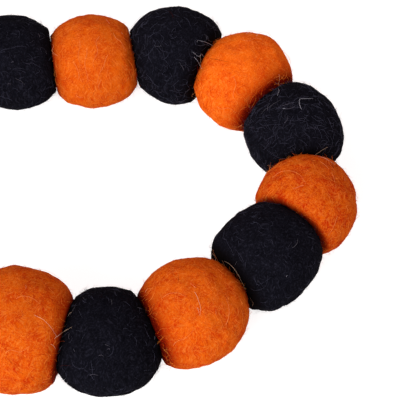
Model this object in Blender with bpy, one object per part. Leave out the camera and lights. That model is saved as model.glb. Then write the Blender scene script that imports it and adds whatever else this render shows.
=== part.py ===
"""Felt ball garland, laid on a surface in a hairpin: two strands joined by a bend.

Solid balls of wool felt, orange and black by turns, are strung tight on one thread,
which ends in a knot against each end ball. The balls press flat against each other,
and each has a small flat spot where it lies on the surface.
Run with: blender --background --python part.py
"""

import math
from collections import namedtuple

import bmesh
import bpy
import numpy as np
from mathutils import Quaternion, Vector

MM = 0.001
UP = Vector((0, 0, 1))

# Driving sizes, in millimetres
BALL_GAP = 0.3
FLAT_SPOT_DEPTH = 0.45
THREAD_ACROSS = 1.2
THREAD_CLEARANCE = 0.3

# The stopper knot at each end, in millimetres, and the two strands that twist in it
KNOT_ACROSS = 4.4
KNOT_LENGTH = 4.4
KNOT_FULLNESS = 0.6
KNOT_TWIST_DEG = 180.0
KNOT_RIDGES = 2
KNOT_RIDGE_SHARE = 0.14
TAIL_LENGTH = 3.0

# A felt ball's length and height against its width, and how sharply its pressed faces
# turn into its sides. The outer face of an end ball is a share of its radius away.
STRETCH_ALONG_THREAD = 1.08
TALL_SHARE = 0.95
SHOULDER_SHARPNESS = 14
END_FACE_SHARE = 0.95

# The lumps of hand rolling: the highest rise in millimetres, the least and greatest
# spread, and how wide the underside stays free of them
LUMPS_PER_BALL = 9
LUMP_SEED = 100
LUMP_RISE = 0.3
LUMP_SPREAD_DEG = (28.0, 52.0)
QUIET_UNDERSIDE_DEG = 35.0

# Fineness of the meshes
COLUMNS = 20
HALF_RING_ANGLES_DEG = (15.0, 28.0, 38.0, 49.0, 63.0, 81.0)
THREAD_SIDES = 8
THREAD_STEPS = 2
BORE_SIDES = 10
KNOT_RINGS = 8
SHARP_ANGLE_DEG = 50.0

# One row for each ball, from the end of the upper strand, round the bend, to the end
# of the lower strand. x and y are its place on the surface and across is its
# width square to the thread, all in millimetres.
Ball = namedtuple("Ball", "colour x y across")
BALLS = (
    Ball("black", -129.0, 36.5, 24.5),
    Ball("orange", -108.5, 34.5, 25.0),
    Ball("black", -88.0, 33.8, 24.2),
    Ball("orange", -67.5, 33.8, 25.0),
    Ball("black", -47.7, 34.7, 25.0),
    Ball("orange", -27.7, 35.1, 24.4),
    Ball("black", -6.2, 36.6, 25.8),
    Ball("orange", 11.0, 28.0, 24.8),
    Ball("black", 23.2, 13.5, 24.0),
    Ball("orange", 25.4, -8.0, 24.4),
    Ball("black", 15.7, -21.8, 25.5),
    Ball("orange", -1.9, -36.3, 25.3),
    Ball("black", -21.1, -43.4, 24.9),
    Ball("orange", -40.8, -41.7, 28.6),
    Ball("black", -62.5, -40.2, 24.8),
    Ball("orange", -82.8, -39.2, 24.6),
    Ball("black", -103.2, -39.8, 25.2),
    Ball("orange", -123.6, -41.4, 24.6),
)

# Where neighbours press on each other unevenly. shift moves their contact on towards
# the later ball, in millimetres, and lean turns it about the vertical, in degrees.
Contact = namedtuple("Contact", "after shift lean")
CONTACTS = (
    Contact("ball_05", -0.5, 8),
    Contact("ball_06", 0.2, 7),
    Contact("ball_07", -1.4, 0),
    Contact("ball_10", -1.3, 0),
    Contact("ball_11", -1.4, 0),
    Contact("ball_12", 0.2, 5),
    Contact("ball_13", 0.1, -7),
)

# Swellings and hollows that show in a ball's outline. toward is a bearing from +X and
# above is an angle above the level, in degrees. rise is in millimetres and spread in degrees.
Swelling = namedtuple("Swelling", "ball toward above rise spread")
SWELLINGS = (
    Swelling("ball_05", 50, 35, -0.9, 35),
    Swelling("ball_05", -45, 0, 0.7, 30),
    Swelling("ball_06", -40, 0, 0.8, 30),
    Swelling("ball_07", 225, 0, -0.8, 35),
    Swelling("ball_08", 50, 40, 1.5, 30),
    Swelling("ball_09", -15, 0, 0.7, 25),
    Swelling("ball_11", 135, 25, -0.7, 35),
    Swelling("ball_11", 190, 20, 0.9, 25),
    Swelling("ball_11", -45, 0, -1.0, 35),
    Swelling("ball_13", -50, 0, 0.6, 30),
    Swelling("ball_13", -100, 0, -0.4, 30),
    Swelling("ball_14", 85, 50, 0.9, 35),
)

# Finishes: colour and roughness
Finish = namedtuple("Finish", "colour roughness")
FINISHES = {
    "orange": Finish((0.75, 0.12, 0.012, 1.0), 0.95),
    "black": Finish((0.008, 0.007, 0.012, 1.0), 0.95),
    "thread": Finish((0.012, 0.012, 0.014, 1.0), 0.8),
}


def clear_scene():
    for obj in list(bpy.data.objects):
        bpy.data.objects.remove(obj, do_unlink=True)


def make_material(name, finish):
    material = bpy.data.materials.new(name)
    material.use_nodes = True
    shader = material.node_tree.nodes["Principled BSDF"]
    shader.inputs["Base Color"].default_value = finish.colour
    shader.inputs["Roughness"].default_value = finish.roughness
    shader.inputs["Metallic"].default_value = 0.0
    return material


def make_object(name, bm, parent, material=None, place=(0, 0, 0)):
    """One named object from a bmesh that is drawn about its own place."""
    bmesh.ops.recalc_face_normals(bm, faces=bm.faces)
    mesh = bpy.data.meshes.new(name)
    bm.to_mesh(mesh)
    bm.free()
    mesh.shade_smooth()
    mesh.set_sharp_from_angle(angle=math.radians(SHARP_ANGLE_DEG))
    if material:
        mesh.materials.append(material)
    obj = bpy.data.objects.new(name, mesh)
    bpy.context.scene.collection.objects.link(obj)
    obj.location = place
    obj.parent = parent
    return obj


def skin_between(bm, ring, following):
    count = len(ring)
    for i in range(count):
        j = (i + 1) % count
        bm.faces.new((ring[i], ring[j], following[j], following[i]))


def ball_name(index):
    return f"ball_{index + 1:02d}"


def ball_centres():
    """Centres in metres. The flat spot brings a ball lower by its own depth."""
    half = TALL_SHARE / 2
    return [Vector((b.x, b.y, b.across * half - FLAT_SPOT_DEPTH)) * MM for b in BALLS]


def contact(centres, here):
    """The middle and direction of the face that a ball and the next press on each other."""
    share = BALLS[here].across / (BALLS[here].across + BALLS[here + 1].across)
    middle = centres[here].lerp(centres[here + 1], share)
    direction = (centres[here + 1] - centres[here]).normalized()
    for uneven in CONTACTS:
        if uneven.after == ball_name(here):
            middle += direction * uneven.shift * MM
            direction.rotate(Quaternion(UP, math.radians(uneven.lean)))
    return middle, direction


def end_of_thread(centres, end, beside):
    """Where the thread leaves an end ball, and the direction in which it leaves."""
    outward = (centres[end] - centres[beside]).normalized()
    reach = BALLS[end].across / 2 * END_FACE_SHARE * MM
    return centres[end] + outward * reach, outward


def pressed_faces(index, centres):
    """A ball's faces behind and ahead on the thread: each a middle and an outward direction."""
    last = len(BALLS) - 1
    if index > 0:
        middle, direction = contact(centres, index - 1)
        behind = (middle + direction * BALL_GAP / 2 * MM, -direction)
    else:
        behind = end_of_thread(centres, 0, 1)
    if index < last:
        middle, direction = contact(centres, index)
        ahead = (middle - direction * BALL_GAP / 2 * MM, direction)
    else:
        ahead = end_of_thread(centres, last, last - 1)
    return behind, ahead


def lumps_of(index):
    """Low swellings and hollows of a hand-rolled ball: direction, rise and spread."""
    random = np.random.default_rng(LUMP_SEED + index)
    lumps = []
    for _ in range(LUMPS_PER_BALL):
        direction = Vector(random.normal(size=3)).normalized()
        rise = random.uniform(-LUMP_RISE, LUMP_RISE) * MM
        spread = math.radians(random.uniform(*LUMP_SPREAD_DEG))
        lumps.append((direction, rise, spread))
    for swelling in SWELLINGS:
        if swelling.ball == ball_name(index):
            bearing, above = math.radians(swelling.toward), math.radians(swelling.above)
            level = Vector((math.cos(bearing), math.sin(bearing), 0)) * math.cos(above)
            lumps.append((level + UP * math.sin(above), swelling.rise * MM, math.radians(swelling.spread)))
    return lumps


def bell(angle, spread):
    return math.exp(-((angle / spread) ** 2))


def surface_reach(direction, along, radius, faces, lumps):
    """Distance from a ball's centre to its surface in one direction. Faces count from the centre."""
    lengthwise, upright = direction.dot(along), direction.z
    sideways_squared = max(0.0, 1 - lengthwise**2 - upright**2)
    longer = (lengthwise / STRETCH_ALONG_THREAD) ** 2
    lower = (upright / TALL_SHARE) ** 2
    reach = radius / math.sqrt(longer + lower + sideways_squared)
    loudness = 1 - bell(direction.angle(-UP), math.radians(QUIET_UNDERSIDE_DEG))
    for toward, rise, spread in lumps:
        reach += loudness * rise * bell(direction.angle(toward), spread)
    power = reach**-SHOULDER_SHARPNESS
    for middle, normal in faces:
        facing = direction.dot(normal)
        if facing > 0:
            power += (middle.dot(normal) / facing) ** -SHOULDER_SHARPNESS
    return power ** (-1 / SHOULDER_SHARPNESS)


def press_flat_spot(bm, height):
    """Cuts the ball off level at the surface that it lies on."""
    geometry = bm.verts[:] + bm.edges[:] + bm.faces[:]
    cut = bmesh.ops.bisect_plane(
        bm, geom=geometry, dist=1e-6, plane_co=-UP * height, plane_no=-UP, clear_outer=True
    )
    rim = [part for part in cut["geom_cut"] if isinstance(part, bmesh.types.BMEdge)]
    bmesh.ops.edgenet_fill(bm, edges=rim)


def ball_bmesh(index, centres):
    """Rings round the thread, from the face ahead to the face behind."""
    radius = BALLS[index].across / 2 * MM
    faces = [(middle - centres[index], normal) for middle, normal in pressed_faces(index, centres)]
    lumps = lumps_of(index)
    behind, ahead = (middle.normalized() for middle, _ in faces)
    along = (ahead - behind).normalized()
    side = UP.cross(along).normalized()
    across = along.cross(side)
    half_bend = (math.pi - behind.angle(ahead)) / 2
    bend_axis = behind.cross(ahead).normalized()

    def place(ring_angle, column):
        """A point of the surface. The rings lean with the bend, so they meet both faces squarely."""
        turn = (column + 0.5) * math.tau / COLUMNS
        outward = side * math.cos(turn) + across * math.sin(turn)
        direction = along * math.cos(ring_angle) + outward * math.sin(ring_angle)
        direction.rotate(Quaternion(bend_axis, -half_bend * math.cos(ring_angle)))
        return direction * surface_reach(direction, along, radius, faces, lumps)

    bm = bmesh.new()
    half = [math.radians(angle) for angle in HALF_RING_ANGLES_DEG]
    angles = half + [math.pi - angle for angle in reversed(half)]
    rings = [[bm.verts.new(place(a, column)) for column in range(COLUMNS)] for a in angles]
    for ring, following in zip(rings, rings[1:]):
        skin_between(bm, ring, following)
    for ring, angle in ((rings[0], 0.0), (rings[-1], math.pi)):
        middle = bm.verts.new(place(angle, 0))
        for i in range(COLUMNS):
            bm.faces.new((ring[i], ring[(i + 1) % COLUMNS], middle))
    press_flat_spot(bm, centres[index].z)
    return bm


def smooth_curve(points, steps):
    """Points on a smooth curve through the given ones, with steps from each to the next."""
    ends = [2 * points[0] - points[1]] + points + [2 * points[-1] - points[-2]]
    curve = []
    for a, b, c, d in zip(ends, ends[1:], ends[2:], ends[3:]):
        for i in range(steps):
            t = i / steps
            bend = 2 * a - 5 * b + 4 * c - d
            twist = 3 * b - a - 3 * c + d
            curve.append(b + ((c - a) * t + bend * t**2 + twist * t**3) / 2)
    return curve + [points[-1]]


def thread_route(centres):
    """The thread's middle line, from where it leaves the first ball to where it leaves the last."""
    last = len(centres) - 1
    stops = [end_of_thread(centres, 0, 1)[0], centres[0]]
    for index in range(last):
        stops += [contact(centres, index)[0], centres[index + 1]]
    stops.append(end_of_thread(centres, last, last - 1)[0])
    return smooth_curve(stops, THREAD_STEPS)


def knot_profile():
    """A knot's rings: distance from its ball and radius, both in millimetres."""
    rings = []
    for i in range(KNOT_RINGS):
        share = i / (KNOT_RINGS - 1)
        swell = math.sin(math.pi * share) ** KNOT_FULLNESS
        radius = THREAD_ACROSS / 2 + (KNOT_ACROSS - THREAD_ACROSS) / 2 * swell
        rings.append((BALL_GAP + share * KNOT_LENGTH, radius))
    return rings


def tube_bmesh(rings, sides):
    """A closed tube. Each ring is a centre, a direction, a radius and its ridges' height and turn."""
    bm = bmesh.new()
    skins = []
    for centre, direction, radius, ridge, start in rings:
        side = UP.cross(direction).normalized()
        across = direction.cross(side)
        ring = []
        for i in range(sides):
            turn = i * math.tau / sides
            reach = radius * (1 + ridge * math.cos(KNOT_RIDGES * (turn - start)))
            ring.append(bm.verts.new(centre + (side * math.cos(turn) + across * math.sin(turn)) * reach))
        skins.append(ring)
    for ring, following in zip(skins, skins[1:]):
        skin_between(bm, ring, following)
    bm.faces.new(reversed(skins[0]))
    bm.faces.new(skins[-1])
    return bm


def route_rings(route, radius):
    """Plain rings along a route, each square to it."""
    rings = []
    for index, point in enumerate(route):
        before = route[max(index - 1, 0)]
        after = route[min(index + 1, len(route) - 1)]
        rings.append((point, (after - before).normalized(), radius, 0.0, 0.0))
    return rings


def knot_rings(start, outward, forward):
    """A stopper knot and its short tail, outward from an end ball, as rings along the thread."""
    rings = []
    for away, radius in knot_profile():
        lean = math.radians(KNOT_TWIST_DEG) * away / KNOT_LENGTH
        rings.append((start + outward * away * MM, forward, radius * MM, KNOT_RIDGE_SHARE, lean))
    tail = start + outward * (BALL_GAP + KNOT_LENGTH + TAIL_LENGTH) * MM
    rings.append((tail, forward, THREAD_ACROSS / 2 * MM, 0.0, 0.0))
    return rings


def thread_bmesh(route, centres):
    first, outward_first = end_of_thread(centres, 0, 1)
    last, outward_last = end_of_thread(centres, len(centres) - 1, len(centres) - 2)
    head = knot_rings(first, outward_first, -outward_first)
    foot = knot_rings(last, outward_last, outward_last)
    middle = route_rings(route, THREAD_ACROSS / 2 * MM)
    return tube_bmesh(head[::-1] + middle + foot, THREAD_SIDES)


def bore_bmesh(route):
    """The needle's track through all the balls, a little longer than the route at both ends."""
    radius = (THREAD_ACROSS / 2 + THREAD_CLEARANCE) * MM
    longer = [2 * route[0] - route[1]] + route + [2 * route[-1] - route[-2]]
    return tube_bmesh(route_rings(longer, radius), BORE_SIDES)


def bore(ball, needle):
    cut = ball.modifiers.new("needle_track", "BOOLEAN")
    cut.operation = "DIFFERENCE"
    cut.object = needle


def put_origin_under_middle(root, pieces):
    """Moves the whole garland so that the middle of its box stands on the origin."""
    corners = [piece.location + vertex.co for piece in pieces for vertex in piece.data.vertices]
    for axis in (0, 1):
        values = [corner[axis] for corner in corners]
        root.location[axis] = -(min(values) + max(values)) / 2


def make_garland():
    clear_scene()
    materials = {name: make_material(name, finish) for name, finish in FINISHES.items()}
    root = bpy.data.objects.new("garland", None)
    bpy.context.scene.collection.objects.link(root)
    centres = ball_centres()
    route = thread_route(centres)

    needle = make_object("needle", bore_bmesh(route), root)
    needle.hide_render = True
    needle.display_type = "WIRE"
    balls = []
    for index, ball in enumerate(BALLS):
        body = ball_bmesh(index, centres)
        made = make_object(ball_name(index), body, root, materials[ball.colour], centres[index])
        bore(made, needle)
        balls.append(made)
    thread = make_object("thread", thread_bmesh(route, centres), root, materials["thread"])
    put_origin_under_middle(root, balls + [thread])


make_garland()
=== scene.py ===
"""Felt ball garland: the looks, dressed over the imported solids.

Each ball gets a felt skin drawn through the corners of its solid and pressed against its
neighbours, and a coat of matted and standing wool fibres. The thread gets its plies and
its stopper knots, and stray hairs lie where the photograph shows them.
"""

import math
from collections import namedtuple

import bmesh
import bpy
import numpy as np
from bpy.props import FloatProperty, FloatVectorProperty, IntProperty, PointerProperty
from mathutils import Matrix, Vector
from mathutils.bvhtree import BVHTree


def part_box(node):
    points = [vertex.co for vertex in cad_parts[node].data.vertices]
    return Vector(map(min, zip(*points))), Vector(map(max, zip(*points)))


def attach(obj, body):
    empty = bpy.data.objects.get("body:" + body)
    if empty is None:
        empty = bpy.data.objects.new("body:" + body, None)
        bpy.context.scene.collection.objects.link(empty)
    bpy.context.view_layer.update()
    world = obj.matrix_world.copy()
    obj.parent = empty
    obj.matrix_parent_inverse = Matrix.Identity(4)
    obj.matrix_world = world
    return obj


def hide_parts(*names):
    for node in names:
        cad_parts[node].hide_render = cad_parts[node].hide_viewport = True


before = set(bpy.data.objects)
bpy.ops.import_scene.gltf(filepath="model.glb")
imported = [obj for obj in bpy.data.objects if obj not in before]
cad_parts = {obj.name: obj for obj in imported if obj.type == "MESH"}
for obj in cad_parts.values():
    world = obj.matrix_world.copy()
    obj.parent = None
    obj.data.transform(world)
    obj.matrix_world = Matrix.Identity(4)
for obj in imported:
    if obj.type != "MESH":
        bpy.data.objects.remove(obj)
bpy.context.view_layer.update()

bl_info = {
    "name": "Felt ball garland",
    "version": (1, 0, 0),
    "blender": (4, 5, 0),
    "location": "3D View > Sidebar > Garland",
    "description": "Dresses a string of felt balls in wool fibres, thread, knots and stray hairs",
    "category": "Object",
}

MM = 0.001

# The photograph's side in pixels, and the width of the camera's sensor in millimetres
PHOTO_SIDE = 400
SENSOR_WIDTH = 36.0

# How a ball's skin follows its solid. A corner tells over a few of its neighbours' angles,
# of corners nearer each other than LEAST_APART only one counts, and the corners of the needle's
# track, which are nearer the middle than INNER_SHARE of the usual reach, don't count.
CORNER_REACH = math.radians(22.0)
LEAST_APART = math.radians(6.0)
CORNER_SLACK = 1e-3
INNER_SHARE = 0.55
SKIN_DIVISIONS = 32

# Where two balls press: the solids' corners in contact lie within FACE_DEPTH of the nearest
# ones. Skin that faces the neighbour and is nearer than about FACE_PULL swells on to the shared
# face, short of it by PRESSED_CLEARANCE, and that face is dished by DISH over DISH_SPREAD.
FACE_DEPTH = 0.12 * MM
LEAST_CORNERS = 6
FACE_PULL = 0.5 * MM
PRESSED_CLEARANCE = 0.025 * MM
DISH = 0.5 * MM
DISH_SPREAD = 4.5 * MM
# How squarely a direction has to look at a neighbour, or down, for its face or the floor to count
LEAST_FACING = 0.3
LEAST_DOWN = 0.2

# The unevenness of hand-felted wool: height, number of waves, and waves' pace round the ball
Ripple = namedtuple("Ripple", "height waves pace")
ROLLED = Ripple(0.085 * MM, 14, (9.0, 18.0))
MATTED = Ripple(0.042 * MM, 40, (24.0, 46.0))
# The swirl of the fibres' grain over a ball, as a share of GRAIN_SWIRL
SWIRL = Ripple(1.0, 4, (1.5, 3.5))

# A coat of fibres, and its share of a ball's fibres. Lengths, rises, sinks, thicknesses and
# near are in millimetres. A matted fibre lies on the skin and dips in at both ends, and a free
# one stands away from its root. near keeps a coat within that distance of the shared faces,
# where the wool is pushed up. curl is how far a fibre turns from point to point, and tints are
# the shares of TINTS.
Coat = namedtuple("Coat", "free share length rise sink thickness points curl near tints")
COATS = {
    "matted": Coat(
        free=False, share=0.60, length=(1.2, 4.4), rise=(0.01, 0.05), sink=0.03,
        thickness=(0.04, 0.065), points=6, curl=0.22, near=math.inf, tints=(0.22, 0.465, 0.31, 0.005),
    ),
    "looped": Coat(
        free=False, share=0.03, length=(3.0, 8.0), rise=(0.12, 0.50), sink=0.05,
        thickness=(0.03, 0.045), points=11, curl=0.24, near=math.inf, tints=(0.05, 0.48, 0.45, 0.02),
    ),
    "standing": Coat(
        free=True, share=0.29, length=(0.8, 2.2), rise=(0.20, 1.00), sink=0.08,
        thickness=(0.035, 0.055), points=5, curl=0.28, near=math.inf, tints=(0.12, 0.47, 0.40, 0.01),
    ),
    "fringe": Coat(
        free=True, share=0.08, length=(1.2, 3.0), rise=(0.30, 1.30), sink=0.08,
        thickness=(0.035, 0.055), points=7, curl=0.28, near=2.2, tints=(0.05, 0.40, 0.52, 0.03),
    ),
}
# How many times more light fibres some balls have than the rest, as the photograph shows them
FRIZZ = {
    "ball_05": 0.5, "ball_06": 1.5, "ball_07": 1.3, "ball_09": 6.0,
    "ball_10": 1.5, "ball_11": 0.35, "ball_12": 1.2, "ball_13": 0.25,
}
FIBRE_SIDES = 3
# How thick a fibre's tip is against its middle, and how near a shared face a fibre may start
TIP_SHARE = 0.35
START_CLEARANCE = 0.25 * MM
# The sine of the steepest climb of a fibre that stands away
STEEPEST_RISE = 0.95
# The fibres' headings: how far they swirl over a ball, and how far each strays from that
GRAIN_SPREAD = math.radians(26.0)
GRAIN_SWIRL = math.radians(55.0)

# How far from a shared face painted shade darkens the wool, standing in for the neighbour's shadow and its
# loose fibres, and how much. A share above 1 keeps the darkest shade for some way.
CreaseShade = namedtuple("CreaseShade", "fade share")
USUAL_CREASE_SHADE = CreaseShade(0.9 * MM, 0.8)
# The other creases' painted shade, as the photograph shows it, by the ball and by the side of it, 1 for
# onward
CREASE_SHADES = {
    ("ball_06", -1): CreaseShade(1.0 * MM, 0.95),
    ("ball_06", 1): CreaseShade(0.65 * MM, 0.75),
    ("ball_08", -1): CreaseShade(0.35 * MM, 0.7),
    ("ball_08", 1): CreaseShade(1.4 * MM, 1.6),
    ("ball_10", -1): CreaseShade(0.4 * MM, 1.1),
    ("ball_10", 1): CreaseShade(0.2 * MM, 0.7),
    ("ball_12", 1): CreaseShade(1.2 * MM, 1.9),
    ("ball_14", -1): CreaseShade(0.6 * MM, 0.8),
}

# How bright some balls' wool is painted, as the photograph shows them: painted light and shade, for how the
# light falls on each and how its neighbours shadow it. The others' dye differs by chance.
LIT_AND_SHADED_TONES = {
    "ball_06": 0.97, "ball_08": 1.18, "ball_09": 0.9, "ball_10": 0.89,
    "ball_12": 0.95, "ball_13": 0.82, "ball_14": 0.88,
}
TONE_SPREAD = 0.05
# How many times more of the deep colour some balls' mottles have than the rest
MOTTLES = {"ball_10": 1.7, "ball_12": 1.15, "ball_14": 1.25}

# The thread: three plies twisted round each other, with a stopper knot and a tail at each end
PLIES = 3
PLY_ACROSS = 0.62 * MM
PLY_OFFSET = 0.29 * MM
PLY_PITCH = 4.2 * MM
PLY_SIDES = 8
# The plies part at the thread's ends: how far more each stands from the middle, and its taper
FRAY_LENGTH = 1.3 * MM
FRAY_SPREAD, FRAY_UNEVENNESS = 0.5, 0.3
FRAY_TAPER = 0.65
# A knot winds back over the thread from KNOT_TO to KNOT_FROM, measured from where it leaves the
# ball. A stop is a place on its way: how far out, how far from the thread's middle, and the turn.
KNOT_TURNS = 3
STOPS_A_TURN = 10
KNOT_RADIUS = 1.42 * MM
KNOT_FROM, KNOT_TO = 0.75 * MM, 3.95 * MM
KNOT_AND_TAIL = 7.4 * MM
Stop = namedtuple("Stop", "away radius turn")
KNOT_WAY_OUT = (
    Stop(KNOT_FROM / 2, 0.25 * MM, math.pi),
    Stop(2.4 * MM, 0.4 * MM, math.pi),
    Stop(4.3 * MM, 0.6 * MM, -1.0),
)
KNOT_TAIL = (
    Stop(0.9 * MM, 0.6 * MM, 0.9),
    Stop(2.4 * MM, 0.4 * MM, 0.4),
    Stop(4.5 * MM, 0.35 * MM, 0.2),
    Stop(KNOT_AND_TAIL, 0.2 * MM, 1.2),
)
# The points along the thread lie closer in its knots, each of which is KNOT_SHARE of its length
KNOT_SHARE = 0.1
KNOT_POINTS = 230
RUN_POINTS = 480
# How finely a smooth path is worked out between its stops, and a direction that no path takes
STEPS_TO_STOP = 24
OBLIQUE = (0.31, 0.17, 0.93)

# The stray hairs that the photograph shows, by tint: how far each stands off in millimetres,
# and the pixels of the photograph that it passes, from its root to its tip
HAIR_ACROSS = 0.065 * MM
HAIR_ROOT = 0.1 * MM
HAIR_TAPER = 0.6
HAIR_POINTS = 18
HAIR_SIDES = 4
Hair = namedtuple("Hair", "lift pixels")
HAIRS = {
    "amber": (
        Hair(0.5, ((353, 200), (356, 203), (357, 206), (355.4, 209))),
        Hair(0.5, ((284, 52), (288, 56), (290.4, 61), (289.6, 66))),
        Hair(0.15, ((84, 41), (87, 52), (84.6, 63), (87.4, 76), (89, 91))),
        Hair(0.15, ((110, 52), (106, 58), (103.6, 66), (99.4, 74), (97, 84))),
        Hair(0.15, ((101, 34), (96, 42), (97.6, 52), (93, 62), (94.4, 70))),
        Hair(0.15, ((76, 34), (80, 44), (78, 56), (81, 66))),
        Hair(0.15, ((104, 76), (100, 82), (98.4, 88), (102, 92))),
        Hair(0.15, ((71, 60), (76, 66), (79, 76), (76, 86))),
        Hair(0.15, ((112, 30), (116, 38), (121, 42), (126, 52))),
        Hair(0.2, ((263, 40), (256, 38), (248, 41), (240, 39))),
        Hair(0.2, ((214, 104), (221, 109), (229, 108), (236, 113))),
        Hair(0.2, ((232, 74), (236, 84), (233, 95), (238, 104))),
        Hair(0.2, ((272, 178), (280, 172), (291, 171), (300, 175), (306, 184))),
        Hair(0.2, ((318, 160), (326, 166), (333, 176), (336, 188))),
        Hair(0.2, ((338, 214), (334, 226), (328, 236))),
        Hair(0.2, ((160, 300), (168, 294), (178, 293), (186, 297))),
        Hair(0.2, ((170, 352), (176, 342), (186, 338), (194, 330))),
        Hair(0.2, ((222, 330), (228, 320), (229, 308), (226, 298))),
        Hair(0.2, ((2, 356), (10, 350), (20, 352), (30, 346))),
        Hair(0.2, ((14, 300), (22, 296), (32, 298), (40, 304))),
    ),
    "ash": (
        Hair(0.35, ((302, 110), (300, 106), (299.3, 101.6), (299.8, 99.2), (304, 98.6), (313, 98.5))),
        Hair(0.2, ((278, 88), (279, 91), (277, 96))),
        Hair(0.2, ((282, 109), (284, 108.4), (286, 109))),
        Hair(0.7, ((213, 46), (209, 43.6), (205, 42), (199.6, 40.7), (197, 41.4))),
        Hair(0.5, ((204, 57), (201.4, 54), (199.6, 56.8), (197, 55.4), (195, 53.8), (192, 52))),
        Hair(0.4, ((201, 67), (198.8, 63.6), (197.2, 60.4), (194, 57))),
        Hair(0.2, ((286, 276.6), (286.8, 276), (287.4, 275.2))),
        Hair(0.5, ((70, 381), (67, 383), (64, 381.4), (65, 378.6))),
    ),
    "crimson": (
        Hair(0.4, ((200, 76), (197.6, 73), (198, 68.6), (196.8, 66))),
        Hair(0.4, ((199, 87), (196.4, 84.6), (197.2, 80), (195.8, 77))),
        Hair(0.4, ((200, 100), (196.2, 97), (197.4, 92.6), (195.4, 88))),
    ),
    "ginger": (
        Hair(0.4, ((275, 170), (271, 168), (269.6, 165), (267, 166))),
        Hair(0.5, ((218.6, 262), (215.6, 256.6), (213.6, 253), (213, 249.4))),
        Hair(0.4, ((214, 261), (211.4, 258), (210, 254))),
        Hair(0.5, ((58, 56), (54, 53.4), (52, 50), (53.6, 46), (50.6, 43))),
    ),
    "rust": (
        Hair(0.5, ((200, 82), (197, 78), (198, 71), (196.6, 64))),
        Hair(0.25, ((206, 58.5), (213, 59), (221, 60.5), (228, 62))),
        Hair(0.5, ((334, 168), (332, 163), (333.6, 160), (331, 157))),
        Hair(0.5, ((338, 170), (336, 165), (337, 162), (334.6, 159))),
        Hair(0.4, ((279, 167), (275, 164), (274.4, 161), (271, 160))),
        Hair(0.4, ((271, 174), (267.4, 172), (268, 169), (265, 170))),
        Hair(0.4, ((58, 368), (63, 365.4), (71, 366))),
        Hair(0.3, ((173.4, 20), (172.6, 15.6), (170.6, 12.4), (168, 10.6))),
    ),
    "smoke": (
        Hair(0.6, ((211, 47), (206, 44.6), (201, 45.7), (197.5, 45.2))),
        Hair(0.5, ((212, 42), (208.4, 40), (207.4, 36.6), (204, 34.2))),
        Hair(0.4, ((197, 88), (193, 88), (188.4, 90), (185, 93.4), (183.8, 97))),
        Hair(0.3, ((185, 100), (181, 101.6), (176, 101))),
        Hair(0.4, ((281, 106), (288, 104), (294, 102.4))),
        Hair(0.4, ((283, 109), (290, 108.4), (295, 106))),
        Hair(0.3, ((268, 112), (267.6, 107), (270, 103.4))),
        Hair(0.3, ((283, 124), (287, 120), (287.4, 116))),
        Hair(0.2, ((107, 349.5), (109, 348.5), (110, 350))),
        Hair(0.2, ((98, 356), (101, 355), (103.6, 356))),
        Hair(0.2, ((89, 375.5), (93, 374.4), (98, 375.5))),
        Hair(0.2, ((11, 63), (12.6, 61.4), (14, 62))),
        Hair(0.2, ((7, 84.6), (9, 83.4), (10.6, 84.4))),
        Hair(0.2, ((205.6, 36), (206.6, 38), (206, 40.4))),
    ),
    "straw": (
        Hair(0.6, ((202, 69), (200, 65), (200.8, 60), (200.2, 55))),
        Hair(0.4, ((199, 99.4), (194.4, 99.2), (192.2, 96), (193, 93))),
        Hair(0.5, ((256, 36), (260, 32.6), (265, 31.8), (269, 33.6), (273, 38))),
        Hair(0.5, ((246, 33.5), (252, 30.8), (258, 31.4))),
        Hair(1.2, ((311, 158), (316, 154.4), (321.4, 150.6), (327.6, 147))),
        Hair(0.3, ((318, 156.4), (323, 157.4), (328, 160), (335, 164.6))),
        Hair(0.5, ((216, 262), (215, 257), (212.5, 254), (210, 250))),
        Hair(0.3, ((223.3, 260.6), (230, 264.4), (235.8, 271), (240.8, 280), (245.8, 290))),
        Hair(0.4, ((249.6, 310), (252.5, 306), (253, 301.7), (250, 297.5))),
        Hair(0.3, ((193, 290), (196.4, 295), (198.6, 301), (200.6, 308), (199.6, 316))),
        Hair(0.3, ((197, 307), (198.4, 310), (199, 313))),
        Hair(0.5, ((33.7, 314.8), (42.9, 319.4), (51, 327.6), (57, 337))),
        Hair(0.9, ((54, 339), (59, 335), (65.3, 330.6), (72, 327))),
        Hair(0.5, ((72, 312), (69.6, 313.4), (68, 316.5))),
        Hair(0.4, ((50, 344), (53.4, 345.6), (55.6, 349))),
    ),
}

# Seeds of the random draws
SKIN_SEED = 11
FIBRE_SEED = 70
SWIRL_SEED = 1
COAT_SEED = 2

TINTS = ("deep", "mid", "light", "pale")
# The balls' colours, which take turns from the first ball on
COLOURS = ("black", "orange")


def unit(vectors):
    return vectors / np.linalg.norm(vectors, axis=-1, keepdims=True)


def ball_names(colour=None):
    """The solids' names along the thread: all of them, or those of one colour."""
    names = sorted(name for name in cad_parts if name.startswith("ball_"))
    return names[COLOURS.index(colour)::len(COLOURS)] if colour else names


def corner_points(node):
    """The corners of a solid, each once."""
    points = np.array([vertex.co for vertex in node.data.vertices])
    return np.unique(np.round(points, 7), axis=0)


def tree_of(points, faces):
    return BVHTree.FromPolygons([Vector(p) for p in points], faces)


def node_tree(node):
    mesh = node.data
    return tree_of([v.co for v in mesh.vertices], [tuple(p.vertices) for p in mesh.polygons])


def spread_out(directions):
    """Which directions to keep so that no two are nearly the same."""
    kept = []
    for index, direction in enumerate(directions):
        if not kept or (directions[kept] @ direction).max() < math.cos(LEAST_APART):
            kept.append(index)
    return kept


def nearness(directions, others):
    """How much a corner tells in each direction: 1 at the corner itself, fading smoothly."""
    apart = np.arccos(np.clip(directions @ others.T, -1, 1)) / CORNER_REACH
    return (1 + apart + apart * apart / 3) * np.exp(-apart)


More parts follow.
